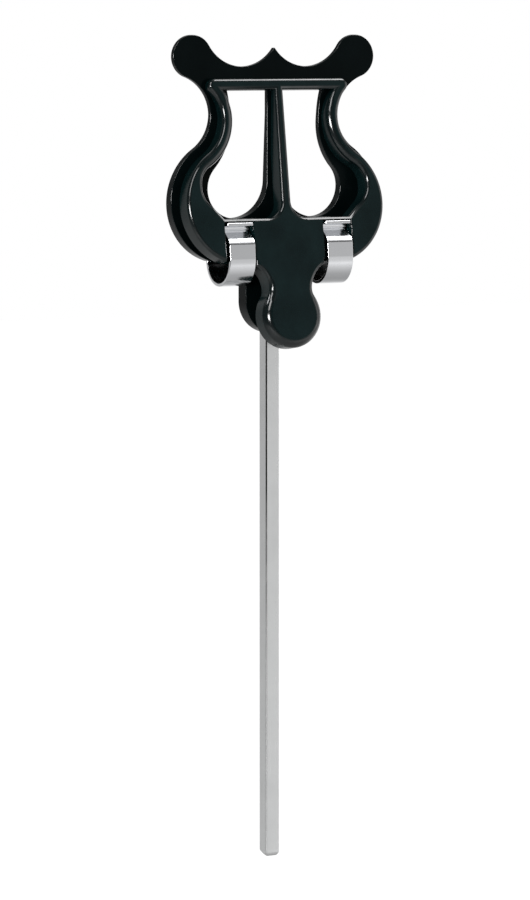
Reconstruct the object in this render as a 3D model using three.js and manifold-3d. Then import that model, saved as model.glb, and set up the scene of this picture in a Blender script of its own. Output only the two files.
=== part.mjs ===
// A marching lyre: a sprung two-jaw clip that holds sheet music, on a square stem that slides
// into the lyre socket of a wind instrument. The rear jaw carries the stem. The front jaw rocks
// on a ridge under its central block, and two bowed band springs pinch the jaws together.
//
// Millimetres. +Z runs up the stem, +X is to the right and -Y is to the front, where the sheet
// is read. The origin is the centre of the stem's lower end.

import * as THREE from 'three';
import { mergeVertices } from 'three/addons/utils/BufferGeometryUtils.js';
import Module from 'manifold-3d';

const wasm = await Module();
wasm.setup();

const DEGREE = Math.PI / 180;

// Fits
const SEAT_GAP = 0.3;              // between pieces that seat on each other
const POCKET_SIDE_GAP = 0.6;       // beside each spring in its pockets

// Stem
const STEM_SIDE = 4.5;
const STEM_CHAMFER = 0.6;
const STEM_CHAMFER_RISE = 0.9;
const STEM_SEAT_LENGTH = 31;       // how far the stem goes up into the rear jaw

// The rocking line of the front jaw, above the stem's lower end
const FULCRUM_HEIGHT = 177.3;
const RIDGE_RADIUS = 1.5;
const RIDGE_LENGTH = 20;
const SADDLE_LENGTH = 20;
const SADDLE_HEIGHT = 6;
const SADDLE_RISE = 1.4;           // how far the saddle stands out of the rear jaw

// Rear jaw. Outlines are drawn as x and the height above the rocking line.
const SOCKET_SKIN = 0.75;          // plastic in front of the stem
const SOCKET_WALL = 1.3;           // plastic beside and behind the stem
const SOCKET_CAP = 2;              // plastic above the stem's end
const REAR_TOP_THICKNESS = 1.65;
const REAR_PADDLE_THICKNESS = 5;
const REAR_TAPER_TOP = 44;
const REAR_TAPER_END = -7.3;
const BALL = { x: 26.85, h: 60.65, r: 6.3 };
const SCALLOP_LOW = 57.75;
const SCALLOP_X = 10.55;
const PEAK_RADIUS = 0.25;
const REAR_WAIST = { x: 21.1, h: 43.5 };
const REAR_BULGE = { x: 15.5, h: 18.7, r: 18.5 };
const REAR_LOWER_EDGE = 0.5;
const REAR_PADDLE = { x: 0, h: -11.2, r: 9.45 };
const REAR_PADDLE_FILLET = 2.5;
const REAR_POCKET_PLATE = 2.2;     // what is left in front of the rear spring pockets
const REAR_WINDOW_TOP = 50.9;
const REAR_STRUT_HALF = 2.5;
const REAR_WINDOW_CORNER = { x: 13.2, h: 24.15, r: 10.7 };
const REAR_WINDOW_BULGE = { x: 13.2, h: 22.2, r: 8.75 };
const REAR_WINDOW_WAIST = { x: 14.5, h: 41.6, r: 38 };

// Front jaw. It leans forward as it goes down; its outlines lie in its own face.
const FRONT_LEAN = 8.2 * DEGREE;
const FRONT_FACE = 8.8;            // from the rocking line to the front face
const FRONT_TOP = 53.7;
const FRONT_CORNER = { x: 20.9, h: 51.65, r: 2.05 };
const FRONT_WAIST = { x: 19, h: 42.25 };
const FRONT_BULGE = { x: 14.38, h: 16.92, r: 17.94 };
const FRONT_LOWER_EDGE = 0;
const BLOCK_HALF = 11.4;
const BLOCK_FOOT = -1.1;
const PADDLE_NECK = { x: 7, h: -8 };
const FRONT_PADDLE = { x: 0, h: -15.9, r: 9.55 };
const FRONT_PADDLE_DEPTH = 6.4;
const FRONT_THICKNESS = 5.6;       // of the lower frame; the upper frame thins to a flat grip
const FRONT_BLOCK_BACK = 0.8;      // the block's back, in front of the rocking line
const FRONT_PADDLE_WALL = 1.7;
const FRONT_PADDLE_SKIN = 1.9;
const FRONT_EDGE_ROUND = 1.1;
const PADDLE_EDGE_ROUND = 2.3;
const NECK_TOP = -3;               // the rounding grows from here
const NECK_FOOT = -13;             // down to here
const ARM_ROUND = 2;               // beside the windows, along the waists
const ARM_ROUND_LOW = 18;          // where it starts to grow, where it is full and where it fades
const ARM_ROUND_FULL = 32;
const ARM_ROUND_HIGH = 45;
const FRONT_WINDOW_TOP = 50.35;
const FRONT_WINDOW_LOW = 12.75;
const FRONT_STRUT_HALF_TOP = 1.3;
const FRONT_STRUT_HALF_LOW = 1.5;
const FRONT_WINDOW_CORNER_R = 4.95;
const FRONT_WINDOW_BULGE = { x: 20.9, h: 22.6, r: 6.1 };
const FRONT_WINDOW_HEEL = { x: 20.9, h: 21.7, r: 6.1 };
const FRONT_WINDOW_WAIST = { x: 15.45, h: 42.4, r: 12.5 };
const FRONT_POCKET_DEPTH = 3.65;
const POCKET_TOP = 11.85;

// Springs: bands bent through a valley at each end, with a bow between
const BAND_THICKNESS = 0.9;
const BAND_WIDTH = 8.3;
const BAND_BEND = 1.2;
const BAND_SHOULDER = 2.5;
const BAND_BOW = 7.4;
const BOW_FRONT = 6.6;             // the bow's centre, in front of the stem's axis
const BOW_HEIGHT = 1.7;
const SHOULDER_FRONT = 11.2;
const SHOULDER_HEIGHT = 5.7;
const REAR_SHOULDER_HEIGHT = 6.6;
const VALLEY_HEIGHT = 10.8;
const REAR_VALLEY_HEIGHT = 9.8;
const LIP_REACH = 2.1;             // from the valley's centre to the end of the band
const LIP_HEIGHT = 12.15;
const REAR_LIP_HEIGHT = 11;

// Drawing
const ARC_STEP = 1.3;
const ARC_TURN = 14 * DEGREE;
const BEND_TURN = 12 * DEGREE;
const ROUND_STEPS = 6;
const PAST = 5;                    // how far a cutter runs past what it cuts

// Places that follow from the sizes above
const rearFace = STEM_SIDE / 2 + SEAT_GAP + SOCKET_SKIN;
const socketHalf = STEM_SIDE / 2 + SEAT_GAP;
const bossHalf = socketHalf + SOCKET_WALL;
const rockFront = rearFace + SADDLE_RISE + SEAT_GAP;
const pocketOuter = BLOCK_HALF + BAND_WIDTH + 2 * POCKET_SIDE_GAP;
const bandCentreX = (BLOCK_HALF + pocketOuter) / 2;
const frontPocketFloor = FRONT_FACE - FRONT_POCKET_DEPTH;
const stemTop = FULCRUM_HEIGHT + REAR_PADDLE.h - REAR_PADDLE.r + STEM_SEAT_LENGTH;

// Points along an arc from one angle to another, without its last point.
function arc(circle, from, to) {
  const turn = to - from;
  const steps = Math.ceil(Math.max(Math.abs(turn) * circle.r / ARC_STEP, Math.abs(turn) / ARC_TURN));
  return Array.from({ length: steps }, (_, i) => {
    const angle = from + turn * i / steps;
    return new THREE.Vector2(circle.x + circle.r * Math.cos(angle), circle.h + circle.r * Math.sin(angle));
  });
}

// The direction from one centre to another, as an angle within half a turn of near.
function toward(a, b, near) {
  let angle = Math.atan2(b.h - a.h, b.x - a.x);
  while (angle < near - Math.PI) angle += 2 * Math.PI;
  while (angle > near + Math.PI) angle -= 2 * Math.PI;
  return angle;
}

// The angle at which a circle crosses a height, on its right side.
const crossing = (circle, h) => Math.asin((h - circle.h) / circle.r);

// The hollow arc that stands upright at a waist and touches a circle beside it.
function waistArc(waist, circle) {
  const dx = waist.x - circle.x;
  const dh = waist.h - circle.h;
  const r = (dx * dx + dh * dh - circle.r * circle.r) / (2 * (circle.r - dx));
  return { x: waist.x + r, h: waist.h, r };
}

// The upper half of a waist, with its own radius.
const upperWaist = (waist) => ({ x: waist.x + waist.r, h: waist.h, r: waist.r });

// A half outline, drawn from the top centre down its right side, closed by its mirror image.
function mirrored(half) {
  const left = half.filter((p) => p.x > 1e-6).map((p) => new THREE.Vector2(-p.x, p.y)).reverse();
  return [...half, ...left];
}

const at = (x, h) => new THREE.Vector2(x, h);

function rearOutline() {
  const scallopRise = (SCALLOP_LOW - BALL.h);
  const span = BALL.x - SCALLOP_X;
  const r = (span * span + scallopRise * scallopRise - BALL.r * BALL.r) / (2 * (BALL.r - scallopRise));
  const scallop = { x: SCALLOP_X, h: SCALLOP_LOW + r, r };
  const reach = scallop.r + PEAK_RADIUS;
  const peak = { x: 0, h: scallop.h - Math.sqrt(reach * reach - SCALLOP_X * SCALLOP_X), r: PEAK_RADIUS };
  const upper = waistArc(REAR_WAIST, BALL);
  const lower = waistArc(REAR_WAIST, REAR_BULGE);
  const corner = {
    x: REAR_PADDLE.r + REAR_PADDLE_FILLET,
    h: REAR_LOWER_EDGE - REAR_PADDLE_FILLET,
    r: REAR_PADDLE_FILLET,
  };
  return mirrored([
    ...arc(peak, 90 * DEGREE, toward(peak, scallop, 0)),
    ...arc(scallop, toward(scallop, peak, 225 * DEGREE), toward(scallop, BALL, 315 * DEGREE)),
    ...arc(BALL, toward(BALL, scallop, 150 * DEGREE), 90 * DEGREE),
    ...arc(BALL, 90 * DEGREE, toward(BALL, upper, -70 * DEGREE)),
    ...arc(upper, toward(upper, BALL, 110 * DEGREE), 180 * DEGREE),
    ...arc(lower, 180 * DEGREE, toward(lower, REAR_BULGE, 235 * DEGREE)),
    ...arc(REAR_BULGE, toward(REAR_BULGE, lower, 55 * DEGREE), 0),
    ...arc(REAR_BULGE, 0, crossing(REAR_BULGE, REAR_LOWER_EDGE)),
    at(REAR_BULGE.x + Math.sqrt(REAR_BULGE.r ** 2 - (REAR_LOWER_EDGE - REAR_BULGE.h) ** 2), REAR_LOWER_EDGE),
    ...arc(corner, 90 * DEGREE, 180 * DEGREE),
    at(REAR_PADDLE.r, corner.h),
    ...arc(REAR_PADDLE, 0, -90 * DEGREE),
    at(0, REAR_PADDLE.h - REAR_PADDLE.r),
  ]);
}

// The right window; side -1 gives the left one.
function rearWindow(side) {
  const lower = waistArc(REAR_WINDOW_WAIST, REAR_WINDOW_BULGE);
  const upper = upperWaist(REAR_WINDOW_WAIST);
  const top = Math.PI - Math.asin((REAR_WINDOW_TOP - upper.h) / upper.r);
  return [
    at(REAR_STRUT_HALF, REAR_WINDOW_TOP),
    ...arc(upper, top, 180 * DEGREE),
    ...arc(lower, 180 * DEGREE, toward(lower, REAR_WINDOW_BULGE, 225 * DEGREE)),
    ...arc(REAR_WINDOW_BULGE, toward(REAR_WINDOW_BULGE, lower, 45 * DEGREE), -90 * DEGREE),
    ...arc(REAR_WINDOW_CORNER, -90 * DEGREE, -180 * DEGREE),
    at(REAR_STRUT_HALF, REAR_WINDOW_CORNER.h),
  ].map((p) => at(side * p.x, p.y));
}

function frontOutline() {
  const upper = waistArc(FRONT_WAIST, FRONT_CORNER);
  const lower = waistArc(FRONT_WAIST, FRONT_BULGE);
  const neck = waistArc(PADDLE_NECK, FRONT_PADDLE);
  const foot = waistArc(PADDLE_NECK, { x: BLOCK_HALF, h: BLOCK_FOOT, r: 0 });
  return mirrored([
    ...arc(FRONT_CORNER, 90 * DEGREE, toward(FRONT_CORNER, upper, -45 * DEGREE)),
    ...arc(upper, toward(upper, FRONT_CORNER, 135 * DEGREE), 180 * DEGREE),
    ...arc(lower, 180 * DEGREE, toward(lower, FRONT_BULGE, 235 * DEGREE)),
    ...arc(FRONT_BULGE, toward(FRONT_BULGE, lower, 55 * DEGREE), crossing(FRONT_BULGE, FRONT_LOWER_EDGE)),
    at(FRONT_BULGE.x + Math.sqrt(FRONT_BULGE.r ** 2 - (FRONT_LOWER_EDGE - FRONT_BULGE.h) ** 2), FRONT_LOWER_EDGE),
    at(BLOCK_HALF, FRONT_LOWER_EDGE),
    at(BLOCK_HALF, BLOCK_FOOT),
    ...arc(foot, toward(foot, { x: BLOCK_HALF, h: BLOCK_FOOT }, 150 * DEGREE), 180 * DEGREE).slice(1),
    ...arc(neck, 180 * DEGREE, toward(neck, FRONT_PADDLE, 215 * DEGREE)),
    ...arc(FRONT_PADDLE, toward(FRONT_PADDLE, neck, 35 * DEGREE), -90 * DEGREE),
    at(0, FRONT_PADDLE.h - FRONT_PADDLE.r),
  ]);
}

function frontWindow(side) {
  const bulge = FRONT_WINDOW_BULGE;
  const heel = FRONT_WINDOW_HEEL;
  const upper = upperWaist(FRONT_WINDOW_WAIST);
  const lower = waistArc(FRONT_WINDOW_WAIST, bulge);
  const slope = heel.x - heel.h + heel.r * Math.SQRT2;
  const top = Math.PI - Math.asin((FRONT_WINDOW_TOP - upper.h) / upper.r);
  const corner = {
    x: FRONT_STRUT_HALF_LOW + FRONT_WINDOW_CORNER_R,
    h: FRONT_WINDOW_LOW + FRONT_WINDOW_CORNER_R,
    r: FRONT_WINDOW_CORNER_R,
  };
  return [
    at(FRONT_STRUT_HALF_TOP, FRONT_WINDOW_TOP),
    ...arc(upper, top, 180 * DEGREE),
    ...arc(lower, 180 * DEGREE, toward(lower, bulge, 225 * DEGREE)),
    ...arc(bulge, toward(bulge, lower, 45 * DEGREE), 0),
    ...arc(heel, 0, -45 * DEGREE),
    at(heel.x + heel.r * Math.SQRT1_2, heel.h - heel.r * Math.SQRT1_2),
    at(FRONT_WINDOW_LOW + slope, FRONT_WINDOW_LOW),
    ...arc(corner, -90 * DEGREE, -180 * DEGREE),
    at(FRONT_STRUT_HALF_LOW, corner.h),
  ].map((p) => at(side * p.x, p.y));
}

// Solids for joining and cutting

function solid(geometry) {
  const bare = geometry.index ? geometry.toNonIndexed() : geometry.clone();
  bare.deleteAttribute('normal');
  bare.deleteAttribute('uv');
  const merged = mergeVertices(bare, 1e-4);
  return new wasm.Manifold(new wasm.Mesh({
    numProp: 3,
    vertProperties: new Float32Array(merged.attributes.position.array),
    triVerts: new Uint32Array(merged.index.array),
  }));
}

function geometryOf(manifold) {
  const mesh = manifold.getMesh();
  const geometry = new THREE.BufferGeometry();
  geometry.setAttribute('position', new THREE.BufferAttribute(new Float32Array(mesh.vertProperties), 3));
  geometry.setIndex(new THREE.BufferAttribute(new Uint32Array(mesh.triVerts), 1));
  geometry.computeVertexNormals();
  return geometry;
}

// From each point of an outline, the direction along which its edges move in by equal steps.
function inwardDirections(line) {
  return line.map((point, i) => {
    const before = line[(i + line.length - 1) % line.length];
    const after = line[(i + 1) % line.length];
    const a = point.clone().sub(before).normalize();
    const b = after.clone().sub(point).normalize();
    return at(-a.y - b.y, a.x + b.x).divideScalar(1 + a.dot(b));
  });
}

// A closed body through rings of one outline. ringsAt gives [inset, front] pairs, back to front,
// for a point, so an edge can be rounded more at one place than at another.
function loft(outline, ringsAt) {
  const line = THREE.ShapeUtils.isClockWise(outline) ? [...outline].reverse() : outline;
  const n = line.length;
  const into = inwardDirections(line);
  const profiles = line.map((p) => ringsAt(p));
  const rings = profiles[0].map((_, k) => line.map((p, i) => {
    const [inset, front] = profiles[i][k];
    return new THREE.Vector3(p.x + into[i].x * inset, p.y + into[i].y * inset, front);
  }));
  const faces = [];
  rings.slice(1).forEach((_, k) => {
    for (let i = 0; i < n; i += 1) {
      const a = k * n + i;
      const b = k * n + (i + 1) % n;
      faces.push([a, b, b + n], [a, b + n, a + n]);
    }
  });
  const last = (rings.length - 1) * n;
  THREE.ShapeUtils.triangulateShape(rings[0], []).forEach(([a, b, c]) => faces.push([c, b, a]));
  THREE.ShapeUtils.triangulateShape(rings[rings.length - 1], []).forEach((face) => {
    faces.push(face.map((i) => last + i));
  });
  const geometry = new THREE.BufferGeometry().setFromPoints(rings.flat());
  geometry.setIndex(faces.flat());
  return solid(geometry);
}

const plate = (outline, back, front) => loft(outline, () => [[0, back], [0, front]]);

// A quarter round as pairs of inset and depth.
function quarterRound(r) {
  return Array.from({ length: ROUND_STEPS + 1 }, (_, k) => {
    const turn = 90 * DEGREE * k / ROUND_STEPS;
    return [r * (1 - Math.cos(turn)), r * (1 - Math.sin(turn))];
  });
}

// A plate with its front edge rounded by a radius that goes with the place.
const roundedPlate = (outline, back, front, radiusAt) => loft(outline, (p) => [
  [0, back],
  ...quarterRound(radiusAt(p)).map(([inset, depth]) => [inset, front - depth]),
]);

// What is cut away for a window whose front edge is rounded.
const roundedOpening = (outline, back, front, radiusAt) => loft(outline, (p) => [
  [0, back - PAST],
  ...quarterRound(radiusAt(p)).map(([inset, depth]) => [-inset, front - depth]),
  [-radiusAt(p), front + PAST],
]);

// A value that runs from a to b while the height runs from low to high.
const eased = (h, low, high, a, b) => THREE.MathUtils.lerp(a, b, THREE.MathUtils.smoothstep(h, low, high));

function outlineRound(p) {
  return eased(p.y, NECK_FOOT, NECK_TOP, PADDLE_EDGE_ROUND, FRONT_EDGE_ROUND);
}

function windowRound(p) {
  if (Math.abs(p.x) < FRONT_STRUT_HALF_LOW + FRONT_WINDOW_CORNER_R) return FRONT_EDGE_ROUND;
  const full = eased(p.y, ARM_ROUND_LOW, ARM_ROUND_FULL, FRONT_EDGE_ROUND, ARM_ROUND);
  return eased(p.y, ARM_ROUND_HIGH, FRONT_WINDOW_TOP, full, FRONT_EDGE_ROUND);
}

function box(low, high) {
  const size = high.map((v, i) => v - low[i]);
  const geometry = new THREE.BoxGeometry(...size);
  return solid(geometry.translate(...low.map((v, i) => v + size[i] / 2)));
}

// A rod along x, at a height and a distance in front.
function rod(radius, length, h, front) {
  const geometry = new THREE.CylinderGeometry(radius, radius, length, 28);
  return solid(geometry.rotateZ(90 * DEGREE).translate(0, h, front));
}

// A prism along x with a side profile of [front, height] corners.
function sideProfile(corners, half) {
  const shape = new THREE.Shape(corners.map(([front, h]) => at(-front, h)));
  const geometry = new THREE.ExtrudeGeometry(shape, { depth: 2 * half, bevelEnabled: false });
  return solid(geometry.translate(0, 0, -half).rotateY(90 * DEGREE));
}

const materials = {
  plastic: () => new THREE.MeshStandardMaterial({ color: 0x0b0d0d, roughness: 0.28, metalness: 0 }),
  spring: () => new THREE.MeshStandardMaterial({ color: 0xc9c9cc, roughness: 0.16, metalness: 1 }),
  steel: () => new THREE.MeshStandardMaterial({ color: 0xb9bab8, roughness: 0.34, metalness: 1 }),
};

function piece(name, geometry, material) {
  const mesh = new THREE.Mesh(geometry, material);
  mesh.name = name;
  return mesh;
}

// The stem is a cut length of square bar with both ends chamfered.
function makeStem() {
  const half = STEM_SIDE / 2;
  const square = new THREE.Shape([at(-half, -half), at(half, -half), at(half, half), at(-half, half)]);
  const geometry = new THREE.ExtrudeGeometry(square, {
    depth: stemTop - 2 * STEM_CHAMFER_RISE,
    bevelEnabled: true,
    bevelThickness: STEM_CHAMFER_RISE,
    bevelSize: STEM_CHAMFER,
    bevelOffset: -STEM_CHAMFER,
    bevelSegments: 1,
    steps: 1,
  });
  return piece('stem', geometry.translate(0, 0, STEM_CHAMFER_RISE), materials.steel());
}

// The rear jaw is a plate that thickens downwards, with a boss on its back that holds the stem,
// a saddle on its face for the front jaw's ridge, and a pocket behind for each spring.
function makeRearJaw() {
  const back = rearFace - REAR_PADDLE_THICKNESS;
  const upperBack = rearFace - REAR_TOP_THICKNESS;
  const top = BALL.h + BALL.r + PAST;
  const wide = REAR_BULGE.x + REAR_BULGE.r + PAST;
  const behind = back - PAST;
  const socketTop = stemTop - FULCRUM_HEIGHT + SEAT_GAP;
  const foot = REAR_PADDLE.h - REAR_PADDLE.r;
  const bossFoot = REAR_PADDLE.h - Math.sqrt(REAR_PADDLE.r ** 2 - bossHalf ** 2) + 0.2;

  const taper = sideProfile([
    [upperBack, top],
    [upperBack, REAR_TAPER_TOP],
    [back, REAR_TAPER_END],
    [behind, REAR_TAPER_END],
    [behind, top],
  ], wide);
  const boss = box([-bossHalf, bossFoot, -bossHalf], [bossHalf, socketTop + SOCKET_CAP, rearFace - SOCKET_SKIN]);
  const saddle = box(
    [-SADDLE_LENGTH / 2, -SADDLE_HEIGHT / 2, rearFace - 1],
    [SADDLE_LENGTH / 2, SADDLE_HEIGHT / 2, rearFace + SADDLE_RISE],
  );
  const groove = rod(RIDGE_RADIUS + SEAT_GAP, SADDLE_LENGTH + 2 * PAST, 0, rockFront);
  const socket = box([-socketHalf, foot - PAST, -socketHalf], [socketHalf, socketTop, socketHalf]);

  let jaw = plate(rearOutline(), back, rearFace).subtract(taper);
  for (const side of [-1, 1]) {
    jaw = jaw.subtract(plate(rearWindow(side), behind, rearFace + PAST));
    const inner = side * BLOCK_HALF;
    const outer = side * pocketOuter;
    jaw = jaw.subtract(box(
      [Math.min(inner, outer), REAR_LOWER_EDGE - PAST, behind],
      [Math.max(inner, outer), POCKET_TOP, rearFace - REAR_POCKET_PLATE],
    ));
  }
  jaw = jaw.add(boss).add(saddle).subtract(groove).subtract(socket);
  const mesh = piece('rear_jaw', geometryOf(jaw), materials.plastic());
  mesh.rotation.x = 90 * DEGREE;
  mesh.position.set(0, 0, FULCRUM_HEIGHT);
  return mesh;
}

// The front jaw is a lyre frame with rounded front edges, a block with a spring pocket on each
// side, and a hollow thumb paddle. The back of its upper frame is a flat grip against the rear jaw.
function makeFrontJaw() {
  const cos = Math.cos(FRONT_LEAN);
  const sin = Math.sin(FRONT_LEAN);
  const grip = rearFace + SEAT_GAP - rockFront;
  const gripFront = (grip + FRONT_TOP * sin) / cos;
  const frameBack = FRONT_FACE - FRONT_THICKNESS;
  const gripFoot = (frameBack * cos - grip) / sin;
  const paddleBack = FRONT_FACE - FRONT_PADDLE_DEPTH;
  const wide = FRONT_BULGE.x + FRONT_BULGE.r + PAST;
  const low = FRONT_PADDLE.h - FRONT_PADDLE.r - PAST;
  const blockLow = -RIDGE_RADIUS - SEAT_GAP;

  const body = roundedPlate(frontOutline(), -FRONT_EDGE_ROUND, FRONT_FACE, outlineRound);
  const frame = sideProfile([
    [gripFront, FRONT_TOP],
    [gripFront, FRONT_TOP + PAST],
    [FRONT_FACE + PAST, FRONT_TOP + PAST],
    [FRONT_FACE + PAST, low],
    [paddleBack, low],
    [paddleBack, FRONT_LOWER_EDGE],
    [frameBack, FRONT_LOWER_EDGE],
    [frameBack, gripFoot],
  ], wide);
  const block = sideProfile([
    [FRONT_BLOCK_BACK, blockLow],
    [FRONT_BLOCK_BACK, FRONT_WINDOW_LOW - frameBack + FRONT_BLOCK_BACK],
    [frameBack, FRONT_WINDOW_LOW],
    [FRONT_FACE, FRONT_WINDOW_LOW],
    [FRONT_FACE, blockLow - (paddleBack - FRONT_BLOCK_BACK)],
    [paddleBack, blockLow - (paddleBack - FRONT_BLOCK_BACK)],
  ], BLOCK_HALF);
  let jaw = body.intersect(frame.add(block));
  for (const side of [-1, 1]) {
    jaw = jaw.subtract(roundedOpening(frontWindow(side), -FRONT_EDGE_ROUND, FRONT_FACE, windowRound));
    const inner = side * BLOCK_HALF;
    const outer = side * pocketOuter;
    jaw = jaw.subtract(box(
      [Math.min(inner, outer), FRONT_LOWER_EDGE - PAST, frontPocketFloor],
      [Math.max(inner, outer), POCKET_TOP, FRONT_FACE + PAST],
    ));
  }
  const hollow = new THREE.CylinderGeometry(
    FRONT_PADDLE.r - FRONT_PADDLE_WALL, FRONT_PADDLE.r - FRONT_PADDLE_WALL,
    FRONT_PADDLE_DEPTH - FRONT_PADDLE_SKIN + PAST, 48,
  );
  const hollowFront = FRONT_FACE - FRONT_PADDLE_SKIN;
  const hollowMiddle = hollowFront - (FRONT_PADDLE_DEPTH - FRONT_PADDLE_SKIN + PAST) / 2;
  jaw = jaw.subtract(solid(hollow.rotateX(90 * DEGREE).translate(0, FRONT_PADDLE.h, hollowMiddle)));
  jaw = jaw.add(rod(RIDGE_RADIUS, RIDGE_LENGTH, 0, 0));
  const mesh = piece('front_jaw', geometryOf(jaw), materials.plastic());
  mesh.rotation.x = 90 * DEGREE - FRONT_LEAN;
  mesh.position.set(0, -rockFront, FULCRUM_HEIGHT);
  return mesh;
}

// A path through circles, as a belt runs: each circle's turn is 1 to the left or -1 to the right,
// and a circle of radius 0 is an end. Gives points with the heading of the path at each.
function beltPath(circles) {
  const headings = circles.slice(1).map((b, i) => {
    const a = circles[i];
    const dx = b.x - a.x;
    const dh = b.h - a.h;
    const pull = (b.turn * b.r - a.turn * a.r) / Math.hypot(dx, dh);
    return Math.atan2(dh, dx) - Math.asin(pull);
  });
  const points = [{ x: circles[0].x, h: circles[0].h, heading: headings[0] }];
  circles.slice(1, -1).forEach((c, i) => {
    const from = headings[i];
    let turn = headings[i + 1] - from;
    while (turn * c.turn < 0) turn += c.turn * 2 * Math.PI;
    while (Math.abs(turn) > 2 * Math.PI) turn -= c.turn * 2 * Math.PI;
    const steps = Math.ceil(Math.abs(turn) / BEND_TURN);
    for (let k = 0; k <= steps; k += 1) {
      const heading = from + turn * k / steps;
      points.push({
        x: c.x + c.turn * c.r * Math.sin(heading),
        h: c.h - c.turn * c.r * Math.cos(heading),
        heading,
      });
    }
  });
  const last = circles[circles.length - 1];
  points.push({ x: last.x, h: last.h, heading: headings[headings.length - 1] });
  return points;
}

// The spring's middle line, as distances in front of the stem and heights above the rocking line.
function bandLine() {
  const cos = Math.cos(FRONT_LEAN);
  const sin = Math.sin(FRONT_LEAN);
  const seat = SEAT_GAP + BAND_THICKNESS / 2 + BAND_BEND;
  const frontFloorAtValley = (frontPocketFloor + seat - VALLEY_HEIGHT * sin) / cos;
  const frontValley = { x: rockFront + frontFloorAtValley, h: VALLEY_HEIGHT, r: BAND_BEND, turn: 1 };
  const rearValley = {
    x: rearFace - REAR_POCKET_PLATE - seat,
    h: REAR_VALLEY_HEIGHT,
    r: BAND_BEND,
    turn: 1,
  };
  return beltPath([
    { x: frontValley.x + LIP_REACH, h: LIP_HEIGHT, r: 0, turn: 1 },
    frontValley,
    { x: SHOULDER_FRONT, h: SHOULDER_HEIGHT, r: BAND_SHOULDER, turn: -1 },
    { x: BOW_FRONT, h: BOW_HEIGHT, r: BAND_BOW, turn: -1 },
    { x: BOW_FRONT - BAND_BOW + BAND_SHOULDER, h: REAR_SHOULDER_HEIGHT, r: BAND_SHOULDER, turn: -1 },
    rearValley,
    { x: rearValley.x - LIP_REACH, h: REAR_LIP_HEIGHT, r: 0, turn: 1 },
  ]);
}

function makeSpring(name, side) {
  const half = BAND_THICKNESS / 2;
  const line = bandLine();
  const offset = (p, d) => at(-(p.x - d * Math.sin(p.heading)), p.h + d * Math.cos(p.heading));
  const edge = [...line.map((p) => offset(p, half)), ...line.map((p) => offset(p, -half)).reverse()];
  const geometry = new THREE.ExtrudeGeometry(new THREE.Shape(edge), { depth: BAND_WIDTH, bevelEnabled: false });
  geometry.translate(0, 0, -BAND_WIDTH / 2);
  geometry.rotateX(90 * DEGREE).rotateZ(90 * DEGREE);
  const mesh = piece(name, geometryOf(solid(geometry)), materials.spring());
  mesh.position.set(side * bandCentreX, 0, FULCRUM_HEIGHT);
  return mesh;
}

const lyre = new THREE.Group();
lyre.add(
  makeStem(),
  makeRearJaw(),
  makeFrontJaw(),
  makeSpring('left_spring', -1),
  makeSpring('right_spring', 1),
);

export default lyre;
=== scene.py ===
# %% [markdown]
# # A marching lyre
#
# A marching lyre is a small sprung clip that holds a sheet of music in front of a wind player.
# Two black plastic jaws, both shaped like a lyre, are pinched together by two bent steel bands.
# A square steel stem goes into the lyre socket of the instrument.
#
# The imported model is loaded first. It is the fixed frame: every piece made here goes where that
# model has it, and its box is the largest that the finished pieces may fill.

import math

import bpy
from mathutils import Matrix, Vector


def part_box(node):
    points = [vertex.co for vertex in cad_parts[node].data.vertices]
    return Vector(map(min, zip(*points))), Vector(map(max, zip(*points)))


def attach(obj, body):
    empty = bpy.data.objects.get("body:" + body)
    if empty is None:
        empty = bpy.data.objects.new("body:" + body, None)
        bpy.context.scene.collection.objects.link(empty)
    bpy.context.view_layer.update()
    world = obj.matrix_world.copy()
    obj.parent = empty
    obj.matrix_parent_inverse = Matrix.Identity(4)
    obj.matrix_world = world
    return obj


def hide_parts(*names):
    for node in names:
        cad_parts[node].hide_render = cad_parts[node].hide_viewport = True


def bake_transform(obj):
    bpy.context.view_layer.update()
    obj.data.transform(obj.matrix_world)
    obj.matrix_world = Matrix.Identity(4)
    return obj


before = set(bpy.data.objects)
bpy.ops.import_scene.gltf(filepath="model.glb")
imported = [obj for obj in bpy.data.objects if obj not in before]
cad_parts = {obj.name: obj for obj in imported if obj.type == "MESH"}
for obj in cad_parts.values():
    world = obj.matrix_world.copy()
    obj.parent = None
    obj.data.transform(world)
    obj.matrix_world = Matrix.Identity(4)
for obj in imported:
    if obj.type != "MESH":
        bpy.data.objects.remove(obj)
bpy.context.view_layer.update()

# %% [markdown]
# ## The camera
#
# The camera stands to the left of the front and a little above the clip's middle. Its lens is
# long, so that the stem keeps almost the same width all the way down. The distance and the lens
# were found by matching the stem's taper and the two horns in the photograph.

# %% Camera
IMAGE_HEIGHT = 900
CAMERA_AZIMUTH = math.radians(-27.647)
CAMERA_ELEVATION = math.radians(5.738)
CAMERA_DISTANCE = 1.274296
FOCAL_PIXELS = 4300
LOOK_RIGHT = -0.001273
LOOK_HEIGHT = 0.121726

toward_camera = Vector((
    math.sin(CAMERA_AZIMUTH) * math.cos(CAMERA_ELEVATION),
    -math.cos(CAMERA_AZIMUTH) * math.cos(CAMERA_ELEVATION),
    math.sin(CAMERA_ELEVATION),
))
camera_right = Vector((math.cos(CAMERA_AZIMUTH), math.sin(CAMERA_AZIMUTH), 0))
camera_up = toward_camera.cross(camera_right)
look_at = camera_right * LOOK_RIGHT + Vector((0, 0, LOOK_HEIGHT))

camera_data = bpy.data.cameras.new("camera")
camera_data.sensor_fit = "VERTICAL"
camera_data.sensor_height = 24
camera_data.lens = camera_data.sensor_height * FOCAL_PIXELS / IMAGE_HEIGHT
camera_data.clip_start = 0.05
camera = bpy.data.objects.new("camera", camera_data)
bpy.context.scene.collection.objects.link(camera)
turn = Matrix((camera_right, camera_up, toward_camera)).transposed()
camera.matrix_world = Matrix.Translation(look_at + toward_camera * CAMERA_DISTANCE) @ turn.to_4x4()
bpy.context.scene.camera = camera

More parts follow.
